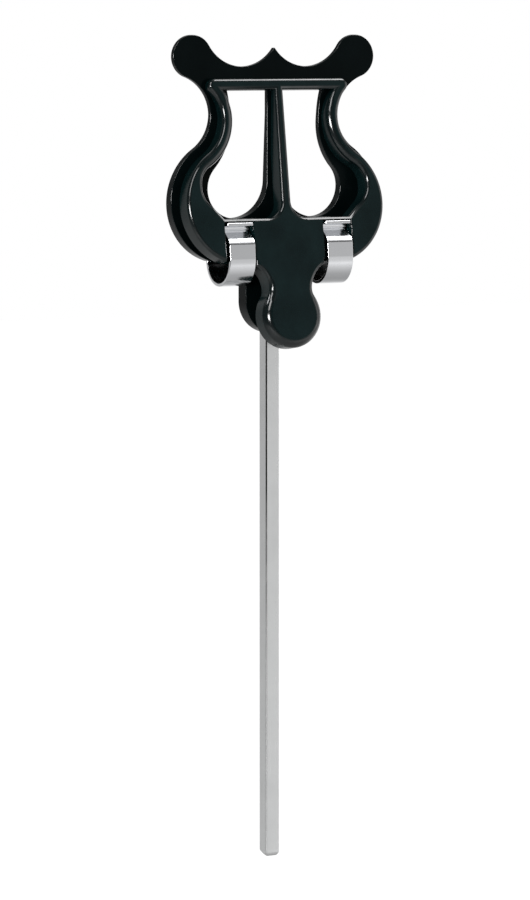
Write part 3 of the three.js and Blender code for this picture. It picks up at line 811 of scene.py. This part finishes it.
def make_spring(name, side):
    spring = start_drawing(name)
    draw(band_line)
    bpy.ops.mesh.select_all(action="SELECT")
    bpy.ops.transform.translate(value=(0, -BAND_WIDTH / 2, 0))
    bpy.ops.mesh.extrude_region_move(TRANSFORM_OT_translate={"value": (0, BAND_WIDTH, 0)})
    bpy.ops.mesh.select_all(action="SELECT")
    bpy.ops.mesh.normals_make_consistent(inside=False)
    bpy.ops.object.mode_set(mode="OBJECT")
    apply_modifier(spring, "SOLIDIFY", thickness=BAND_THICKNESS, offset=0, use_even_offset=True)
    apply_modifier(
        spring, "BEVEL", width=BAND_EDGE_ROUND, segments=3,
        limit_method="ANGLE", angle_limit=BAND_EDGE_ANGLE,
    )
    spring.rotation_euler = (0, 0, -math.pi / 2)
    bpy.ops.object.transform_apply(location=True, rotation=True, scale=True)
    finish_piece(spring, (side * (BLOCK_HALF + POCKET_OUTER) / 2, 0, ROCK_HEIGHT), ALONG_X)
    return spring


left_spring = make_spring("left_spring_band", -1)
right_spring = make_spring("right_spring_band", 1)

# %% [markdown]
# ## The stem
#
# The stem is a length of square steel bar. Its ends are chamfered on all four sides, and its long
# edges are slightly rounded from drawing and plating. A cube is stretched to the bar, its ends are
# inset and pulled out for the chamfers, and the long edges get a bevel. The lower end was cropped at
# a slant, so a plane cuts the back of it away.
#
# A painted dark reflection lies along the front left arris: the plate's colour goes near black and dull there
# and stops being metal, fully over its upper half and ever less toward its lower end. The other three arrises
# have little of it, so their edge number is lowered.

# %% Stem
STEM_CHAMFER = 0.6
STEM_CHAMFER_RISE = 0.9
STEM_EDGE_ROUND = 0.42
CROP_START = -1.1
CROP_SLOPE = (0, 0.463, -0.886)
# How much painted dark reflection each arris gets.
DARK_ARRIS_MOST = 1.6
DARK_ARRIS_AT_FOOT = 0.2
DARK_ARRIS_ELSEWHERE = 0.15
stem_length = (stem_high[2] - stem_low[2]) / MM
half = STEM_SIDE / 2
stem = block((-half, -half, STEM_CHAMFER_RISE), (half, half, stem_length - STEM_CHAMFER_RISE))
stem.name = "stem_bar"
for direction in (-1, 1):
    select_faces(stem, lambda face: face.normal.z * direction > FACING)
    bpy.ops.mesh.inset(thickness=STEM_CHAMFER, depth=STEM_CHAMFER_RISE)
    bpy.ops.object.mode_set(mode="OBJECT")
apply_modifier(stem, "BEVEL", width=STEM_EDGE_ROUND, segments=5, limit_method="ANGLE")
bpy.ops.object.mode_set(mode="EDIT")
bpy.ops.mesh.select_all(action="SELECT")
bpy.ops.mesh.bisect(plane_co=(0, CROP_START, 0), plane_no=CROP_SLOPE, use_fill=True, clear_outer=True)
bpy.ops.object.mode_set(mode="OBJECT")
finish_piece(stem, (0, 0, 0), ALONG_X)
# The edge numbers below set where the painted dark reflection lies along the stem's arrises.
marks = stem.data.attributes["edge"].data
for point in stem.data.vertices:
    if point.co.x > 0 or point.co.y > 0:
        marks[point.index].value *= DARK_ARRIS_ELSEWHERE
    elif point.co.z < STEM_SIDE * MM:
        marks[point.index].value *= DARK_ARRIS_AT_FOOT
    else:
        marks[point.index].value *= DARK_ARRIS_MOST
print("stem:", len(stem.data.vertices), "points,", len(stem.data.polygons), "faces")

# %% [markdown]
# ## Effects that the finishes share
#
# Three small node groups hold what more than one finish uses. Each reads a place in the piece and
# gives back plain numbers or a normal, and the shader itself stays in the material.
#
# - *mottle* is a slow, cloudy change from place to place.
# - *grain* is fine texture, stretched along one direction by its scale, with the normal it makes.
# - the edge group is the edge number broken up by noise, so that wear comes and goes along an edge on the
#   plastic and the springs; on the stem it spreads a painted dark reflection along the arrises the same way.

# %% Node groups
def new_group(name, inputs, outputs):
    group = bpy.data.node_groups.new(name, "ShaderNodeTree")
    for label, kind, value in inputs:
        socket = group.interface.new_socket(label, in_out="INPUT", socket_type=kind)
        if value is not None:
            socket.default_value = value
    for label, kind in outputs:
        group.interface.new_socket(label, in_out="OUTPUT", socket_type=kind)
    return group, group.nodes.new("NodeGroupInput"), group.nodes.new("NodeGroupOutput")


def add(tree, kind, links=(), **values):
    """Adds a node, sets its properties, and links or sets its inputs by name or number."""
    node = tree.nodes.new(kind)
    for key, value in values.items():
        setattr(node, key, value)
    for key, source in links:
        if isinstance(source, bpy.types.NodeSocket):
            tree.links.new(source, node.inputs[key])
        else:
            node.inputs[key].default_value = source
    return node


def make_mottle():
    group, given, result = new_group(
        "mottle",
        [("Place", "NodeSocketVector", None), ("Scale", "NodeSocketFloat", 60.0)],
        [("Mottle", "NodeSocketFloat")],
    )
    clouds = add(group, "ShaderNodeTexNoise", [
        ("Vector", given.outputs["Place"]), ("Scale", given.outputs["Scale"]),
        ("Detail", 4.0), ("Roughness", 0.6),
    ])
    spread = add(group, "ShaderNodeMapRange", [
        ("Value", clouds.outputs["Fac"]), ("From Min", 0.3), ("From Max", 0.7),
    ])
    group.links.new(spread.outputs["Result"], result.inputs["Mottle"])
    return group


def make_grain():
    group, given, result = new_group(
        "grain",
        [("Place", "NodeSocketVector", None), ("Stretch", "NodeSocketVector", (1.0, 1.0, 1.0)),
         ("Scale", "NodeSocketFloat", 900.0), ("Strength", "NodeSocketFloat", 0.1),
         ("Depth", "NodeSocketFloat", 0.00002)],
        [("Grain", "NodeSocketFloat"), ("Normal", "NodeSocketVector")],
    )
    stretched = add(group, "ShaderNodeVectorMath", [
        (0, given.outputs["Place"]), (1, given.outputs["Stretch"]),
    ], operation="MULTIPLY")
    fine = add(group, "ShaderNodeTexNoise", [
        ("Vector", stretched.outputs["Vector"]), ("Scale", given.outputs["Scale"]), ("Detail", 3.0),
    ])
    bump = add(group, "ShaderNodeBump", [
        ("Strength", given.outputs["Strength"]), ("Distance", given.outputs["Depth"]),
        ("Height", fine.outputs["Fac"]),
    ])
    group.links.new(fine.outputs["Fac"], result.inputs["Grain"])
    group.links.new(bump.outputs["Normal"], result.inputs["Normal"])
    return group


def make_edge_patches():
    group, given, result = new_group(
        "edge patches",
        [("Place", "NodeSocketVector", None), ("Edge", "NodeSocketFloat", 0.0),
         ("Scale", "NodeSocketFloat", 300.0), ("Evenness", "NodeSocketFloat", 0.3)],
        [("Edge Patches", "NodeSocketFloat")],
    )
    patches = add(group, "ShaderNodeTexNoise", [
        ("Vector", given.outputs["Place"]), ("Scale", given.outputs["Scale"]), ("Detail", 2.0),
    ])
    broken = add(group, "ShaderNodeMapRange", [
        ("Value", patches.outputs["Fac"]), ("From Min", 0.35), ("From Max", 0.65),
        ("To Min", given.outputs["Evenness"]),
    ])
    edge_patches = add(group, "ShaderNodeMath", [
        (0, broken.outputs["Result"]), (1, given.outputs["Edge"]),
    ], operation="MULTIPLY", use_clamp=True)
    group.links.new(edge_patches.outputs["Value"], result.inputs["Edge Patches"])
    return group


MOTTLE = make_mottle()
GRAIN = make_grain()
EDGE_PATCHES = make_edge_patches()

# %% [markdown]
# ## Finishes
#
# The jaws are black plastic, and the mould has left a faint ripple in it. Its colour runs at random between
# two near blacks, and the two jaws get lit and shaded copies of it: the front jaw's copy is painted lighter
# and blue-green, a painted reflection, and the rear jaw's copy is painted darker, painted shade. The flat
# faces are satin, and the rounded edges are polished: a clear coat over them shows the lamps more sharply.
#
# The springs are bright nickel plate with a fine grain along the band. The stem is the same plate on a
# coarser bar: drawn streaks run up it, and along its arrises a painted dark reflection is laid on, a
# near-black, dull colour where the plate stops being metal.

# %% Materials
WORN_PLASTIC = (0.002, 0.0045, 0.0048)
PLASTIC_ROUGHNESS = (0.18, 0.26)
POLISH = -0.05
COAT_ROUGHNESS = 0.12
DARK_ARRIS_SPECULAR = 0.1


def use_group(tree, group, links):
    return add(tree, "ShaderNodeGroup", links, node_tree=group)


def start_material(name):
    material = bpy.data.materials.new(name)
    material.use_nodes = True
    tree = material.node_tree
    shader = tree.nodes["Principled BSDF"]
    place = tree.nodes.new("ShaderNodeTexCoord").outputs["Object"]
    edge = add(tree, "ShaderNodeAttribute", attribute_name="edge").outputs["Fac"]
    return material, tree, shader, place, edge


def blend_colour(tree, share, a, b):
    node = add(tree, "ShaderNodeMix", data_type="RGBA")
    for key, source in ((0, share), (6, a), (7, b)):
        if isinstance(source, bpy.types.NodeSocket):
            tree.links.new(source, node.inputs[key])
        else:
            node.inputs[key].default_value = (*source, 1)
    return node.outputs[2]


def between(tree, share, low, high):
    node = add(tree, "ShaderNodeMapRange", [("Value", share), ("To Min", low), ("To Max", high)])
    return node.outputs["Result"]


def total(tree, a, b):
    return add(tree, "ShaderNodeMath", [(0, a), (1, b)], operation="ADD").outputs["Value"]


def make_plastic(name, low, high, specular):
    """Black plastic that runs between two colours, with polished edges."""
    material, tree, shader, place, edge = start_material(name)
    clouds = use_group(tree, MOTTLE, [("Place", place), ("Scale", 90.0)]).outputs["Mottle"]
    ripple = use_group(tree, GRAIN, [
        ("Place", place), ("Scale", 420.0), ("Strength", 0.12), ("Depth", 0.00004),
    ])
    edge_patches = use_group(tree, EDGE_PATCHES, [
        ("Place", place), ("Edge", edge), ("Scale", 260.0), ("Evenness", 0.7),
    ]).outputs["Edge Patches"]
    body = blend_colour(tree, clouds, low, high)
    tree.links.new(blend_colour(tree, edge_patches, body, WORN_PLASTIC), shader.inputs["Base Color"])
    satin = between(tree, clouds, *PLASTIC_ROUGHNESS)
    smoother = between(tree, edge_patches, 0.0, POLISH)
    tree.links.new(total(tree, satin, smoother), shader.inputs["Roughness"])
    tree.links.new(ripple.outputs["Normal"], shader.inputs["Normal"])
    tree.links.new(edge_patches, shader.inputs["Coat Weight"])
    shader.inputs["Coat Roughness"].default_value = COAT_ROUGHNESS
    shader.inputs["Specular IOR Level"].default_value = specular
    return material


def make_plating(name, low, high, worn_and_dark_arris, rough, stretch, scale, strength, evenness, painted_dark_arris):
    """Nickel plate that runs between two colours, with drawn streaks and worn edges; for the stem the edges
    get a painted dark reflection instead, near black and not metal.
    """
    material, tree, shader, place, edge = start_material(name)
    clouds = use_group(tree, MOTTLE, [("Place", place), ("Scale", 70.0)]).outputs["Mottle"]
    streaks = use_group(tree, GRAIN, [
        ("Place", place), ("Stretch", stretch), ("Scale", scale), ("Strength", strength), ("Depth", 0.00002),
    ])
    edge_patches = use_group(tree, EDGE_PATCHES, [
        ("Place", place), ("Edge", edge), ("Scale", 200.0), ("Evenness", evenness),
    ]).outputs["Edge Patches"]
    body = blend_colour(tree, clouds, low, high)
    tree.links.new(blend_colour(tree, edge_patches, body, worn_and_dark_arris), shader.inputs["Base Color"])
    tree.links.new(between(tree, streaks.outputs["Grain"], *rough), shader.inputs["Roughness"])
    tree.links.new(streaks.outputs["Normal"], shader.inputs["Normal"])
    shader.inputs["Metallic"].default_value = 1
    # For the stem, the edges lose their metal and take the near-black colour: a painted dark reflection.
    if painted_dark_arris:
        tree.links.new(between(tree, edge_patches, 1.0, 0.0), shader.inputs["Metallic"])
        shader.inputs["Specular IOR Level"].default_value = DARK_ARRIS_SPECULAR
    return material


# Two copies of one black plastic: the rear jaw's is painted darker (painted shade), and the front jaw's is
# painted lighter and blue-green (a painted reflection).
shaded_rear_plastic = make_plastic(
    "gloss_black_plastic_shaded_rear", (0.0004, 0.0014, 0.0015), (0.0010, 0.0026, 0.0028), specular=0.06,
)
lit_front_plastic = make_plastic(
    "gloss_black_plastic_lit_front", (0.0009, 0.0050, 0.0054), (0.0032, 0.0102, 0.0108), specular=0.17,
)
plated = make_plating(
    "bright_nickel_plate", (0.82, 0.83, 0.85), (0.88, 0.89, 0.91), worn_and_dark_arris=(0.66, 0.66, 0.67),
    rough=(0.08, 0.18), stretch=(6.0, 1.0, 1.0), scale=500.0, strength=0.08,
    evenness=0.2, painted_dark_arris=False,
)
# The stem's near-black edge colour is a painted dark reflection along its arrises.
bar = make_plating(
    "satin_nickel_plate", (0.81, 0.82, 0.82), (0.89, 0.90, 0.90), worn_and_dark_arris=(0.004, 0.004, 0.004),
    rough=(0.24, 0.34), stretch=(1.0, 1.0, 0.02), scale=1400.0, strength=0.10,
    evenness=0.9, painted_dark_arris=True,
)
for piece, finish in (
    (rear_jaw, shaded_rear_plastic),
    (front_jaw, lit_front_plastic),
    (left_spring, plated),
    (right_spring, plated),
    (stem, bar),
):
    piece.data.materials.clear()
    piece.data.materials.append(finish)

# %% [markdown]
# ## Which piece moves with what
#
# Each new piece stands for one node of the model, whose own mesh is hidden. The jaws and the stem go under
# the body that they move with. The springs reach from one jaw to the other, and are put under neither body.

# %% Bodies
for piece, node, slot in (
    (rear_jaw, "rear_jaw", "black_plastic"),
    (front_jaw, "front_jaw", "black_plastic"),
    (left_spring, "left_spring", "spring_steel"),
    (right_spring, "right_spring", "spring_steel"),
    (stem, "stem", "stem_steel"),
):
    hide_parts(node)
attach(rear_jaw, "rear")
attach(stem, "rear")
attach(front_jaw, "front")
for spring in (left_spring, right_spring):
    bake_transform(spring)

# %% [markdown]
# ## Light and background
#
# The photograph shows the lyre on plain white with no shadow near it, so the floor lies well below
# the stem. The world and the floor are white where they are seen, and dim as a light. Mirrors see
# a pale room, but for its dim side where the photographer stands, and for a dark seam between two
# sheets of backdrop. The lamps do the lighting: a small one on the left draws the thin bright lines
# down the rounded edges, one over it carries them round the tops, a large one above lights the
# crossbar, and a soft one on the right lifts the faces.

# %% Studio
LIT_HEIGHT = 0.19
FLOOR_HEIGHT = -0.3
FLOOR_SIZE = 12
FLOOR_NEAR = 0.3
FLOOR_FAR = 1.2
FLOOR_PAINT = (0.5, 0.5, 0.5, 1)
FLOOR_SEEN_NEAR = 0.7
FLOOR_MIRRORED_NEAR = 0.0
WORLD_AS_LIGHT = 0.08
DIM_LEVEL = 0.06
DIM_AZIMUTH = math.radians(-65)
DIM_EDGE = (-0.12, 0.30)
ROOM_LEVEL = 0.7
BANDS = ((0.01, 1.0), (0.03, 0.8), (0.40, 0.8), (0.42, 0.0), (0.52, 0.0), (0.54, 1.0))
LIT_POINT = Vector((0, 0, LIT_HEIGHT))
dim_side = (math.sin(DIM_AZIMUTH), -math.cos(DIM_AZIMUTH), 0)


def ray_levels(tree, direction):
    """What camera rays and mirrors see: white, and a pale room with a dim side and a dark seam."""
    rays = tree.nodes.new("ShaderNodeLightPath")
    toward_dim = add(tree, "ShaderNodeVectorMath", [(0, direction), (1, dim_side)], operation="DOT_PRODUCT")
    room = add(tree, "ShaderNodeMapRange", [
        ("Value", toward_dim.outputs["Value"]), ("From Min", DIM_EDGE[0]), ("From Max", DIM_EDGE[1]),
        ("To Min", ROOM_LEVEL), ("To Max", DIM_LEVEL),
    ])
    height = add(tree, "ShaderNodeSeparateXYZ", [("Vector", direction)])
    bands = add(tree, "ShaderNodeValToRGB", [("Fac", height.outputs["Z"])])
    bands.color_ramp.elements.remove(bands.color_ramp.elements[1])
    bands.color_ramp.elements[0].color = (1, 1, 1, 1)
    for place, value in BANDS:
        bands.color_ramp.elements.new(place).color = (value, value, value, 1)
    banded = add(tree, "ShaderNodeMath", [
        (0, room.outputs["Result"]), (1, bands.outputs["Color"]),
    ], operation="MULTIPLY")
    glossy = add(tree, "ShaderNodeMath", [
        (0, rays.outputs["Is Glossy Ray"]), (1, rays.outputs["Is Transmission Ray"]),
    ], operation="MAXIMUM")
    mirrored = add(tree, "ShaderNodeMath", [
        (0, glossy.outputs["Value"]), (1, banded.outputs["Value"]),
    ], operation="MULTIPLY")
    return rays.outputs["Is Camera Ray"], mirrored.outputs["Value"]


bpy.ops.object.select_all(action="DESELECT")
bpy.ops.mesh.primitive_plane_add(size=FLOOR_SIZE, location=(0, 0, FLOOR_HEIGHT))
floor = bpy.context.object
floor.name = "studio_floor"
paint = bpy.data.materials.new("studio_white")
paint.use_nodes = True
tree = paint.node_tree
matt = tree.nodes["Principled BSDF"]
matt.inputs["Base Color"].default_value = FLOOR_PAINT
matt.inputs["Roughness"].default_value = 0.9
matt.inputs["Specular IOR Level"].default_value = 0
place = tree.nodes.new("ShaderNodeTexCoord").outputs["Object"]
drop = (0, 0, FLOOR_HEIGHT - LIT_HEIGHT)
below = add(tree, "ShaderNodeVectorMath", [(0, place), (1, drop)], operation="ADD")
direction = add(tree, "ShaderNodeVectorMath", [(0, below.outputs["Vector"])], operation="NORMALIZE")
away = add(tree, "ShaderNodeVectorMath", [(0, place)], operation="LENGTH")
camera_ray, mirrored = ray_levels(tree, direction.outputs["Vector"])
parts = []
for seen, near in ((camera_ray, FLOOR_SEEN_NEAR), (mirrored, FLOOR_MIRRORED_NEAR)):
    fill = add(tree, "ShaderNodeMapRange", [
        ("Value", away.outputs["Value"]), ("From Min", FLOOR_NEAR), ("From Max", FLOOR_FAR), ("To Min", near),
    ])
    parts.append(add(tree, "ShaderNodeMath", [(0, fill.outputs["Result"]), (1, seen)], operation="MULTIPLY"))
strength = add(tree, "ShaderNodeMath", [
    (0, parts[0].outputs["Value"]), (1, parts[1].outputs["Value"]),
], operation="MAXIMUM")
glow = add(tree, "ShaderNodeEmission", [("Color", (1, 1, 1, 1)), ("Strength", strength.outputs["Value"])])
both = add(tree, "ShaderNodeAddShader", [(0, matt.outputs["BSDF"]), (1, glow.outputs["Emission"])])
tree.links.new(both.outputs["Shader"], tree.nodes["Material Output"].inputs["Surface"])
floor.data.materials.append(paint)

world = bpy.data.worlds.new("studio")
bpy.context.scene.world = world
world.use_nodes = True
tree = world.node_tree
background = tree.nodes["Background"]
background.inputs["Color"].default_value = (1, 1, 1, 1)
direction = tree.nodes.new("ShaderNodeTexCoord").outputs["Generated"]
camera_ray, mirrored = ray_levels(tree, direction)
shown = add(tree, "ShaderNodeMath", [(0, camera_ray), (1, mirrored)], operation="MAXIMUM")
level = add(tree, "ShaderNodeMath", [(0, shown.outputs["Value"]), (1, WORLD_AS_LIGHT)], operation="MAXIMUM")
tree.links.new(level.outputs["Value"], background.inputs["Strength"])


def soft_lamp(name, azimuth, elevation, distance, width, height, brightness):
    """An area lamp that faces the clip; a brightness of 1 looks white in a mirror."""
    data = bpy.data.lights.new(name, "AREA")
    data.shape = "RECTANGLE"
    data.size = width
    data.size_y = height
    data.energy = brightness * math.pi * width * height
    lamp = bpy.data.objects.new(name, data)
    bpy.context.scene.collection.objects.link(lamp)
    a, e = math.radians(azimuth), math.radians(elevation)
    out = Vector((math.sin(a) * math.cos(e), -math.cos(a) * math.cos(e), math.sin(e)))
    lamp.location = LIT_POINT + out * distance
    lamp.rotation_euler = out.to_track_quat("Z", "Y").to_euler()


soft_lamp("key", azimuth=-48, elevation=4, distance=1.2, width=0.5, height=0.26, brightness=30)
soft_lamp("arch", azimuth=-48, elevation=38, distance=1.2, width=0.42, height=0.7, brightness=7)
soft_lamp("top", azimuth=62, elevation=55, distance=1.1, width=0.5, height=0.5, brightness=9)
soft_lamp("fill", azimuth=60, elevation=5, distance=1.4, width=0.8, height=0.8, brightness=0.9)
bpy.context.scene.view_settings.view_transform = "Standard"
